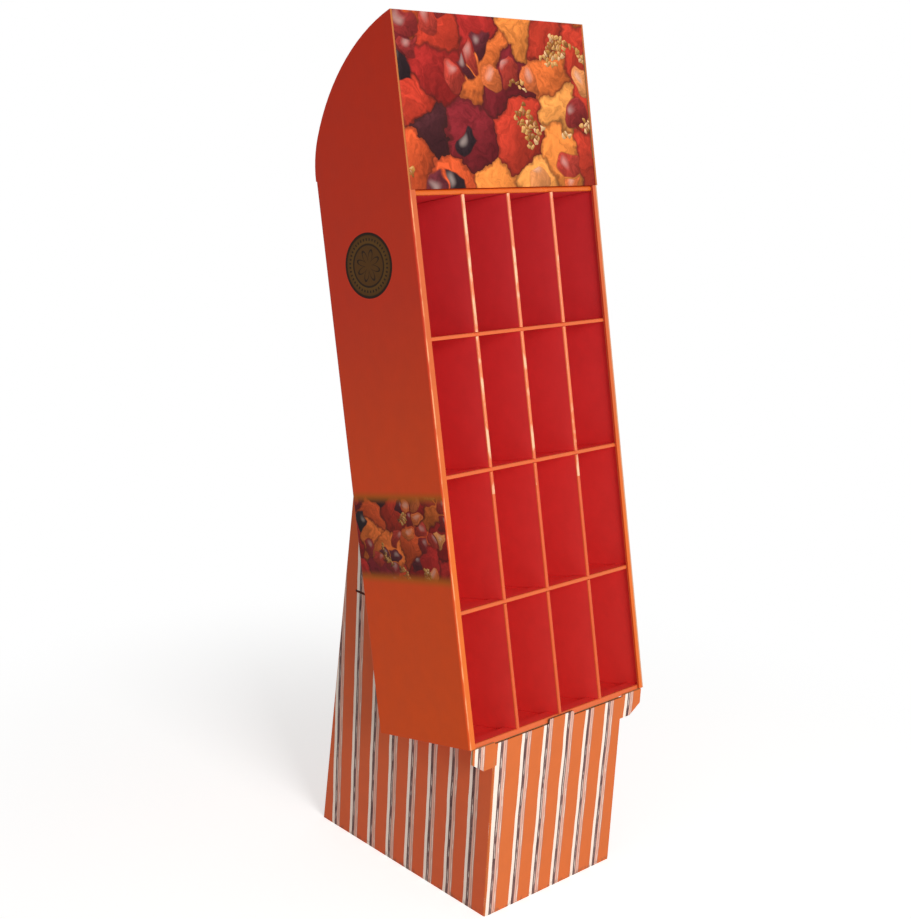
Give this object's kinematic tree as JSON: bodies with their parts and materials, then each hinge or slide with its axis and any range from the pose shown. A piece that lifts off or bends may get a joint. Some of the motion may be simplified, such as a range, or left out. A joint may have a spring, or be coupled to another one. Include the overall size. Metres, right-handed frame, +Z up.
{
  "type": "cardboard display stand",
  "caption": "Floor-standing cardboard display: a grid of open pockets under a curved printed header, leaning back in a narrower striped base.",
  "frame": {"origin": "centre of the base's footprint, on the floor", "axes": "+Z up, +X to the right of someone who faces the pockets, +Y from the front to the back"},
  "size_m": [0.46, 0.467, 1.5435],
  "materials": {
    "base_board": "printed stripes on corrugated board, semi-matte varnish",
    "insert_board": "plain kraft corrugated board, matte",
    "shell_board": "printed corrugated board, semi-matte varnish",
    "hood_board": "printed corrugated board, semi-matte varnish",
    "header_board": "printed corrugated board, semi-matte varnish",
    "shelf_board": "printed corrugated board, semi-matte varnish",
    "pocket_board": "printed corrugated board, semi-matte varnish",
    "divider_board": "printed corrugated board, semi-matte varnish"
  },
  "bodies": {
    "root": {"base_sleeve": "base_board", "base_insert": "insert_board", "cross_brace": "insert_board", "cabinet_shell": "shell_board", "hood_cover": "hood_board", "header_panel": "header_board", "top_shelf": "shelf_board", "pocket_tray_1": "pocket_board", "pocket_tray_2": "pocket_board", "pocket_tray_3": "pocket_board", "pocket_tray_4": "pocket_board", "divider_1_1": "divider_board", "divider_1_2": "divider_board", "divider_1_3": "divider_board", "divider_2_1": "divider_board", "divider_2_2": "divider_board", "divider_2_3": "divider_board", "divider_3_1": "divider_board", "divider_3_2": "divider_board", "divider_3_3": "divider_board", "divider_4_1": "divider_board", "divider_4_2": "divider_board", "divider_4_3": "divider_board"}
  },
  "joints": []
}
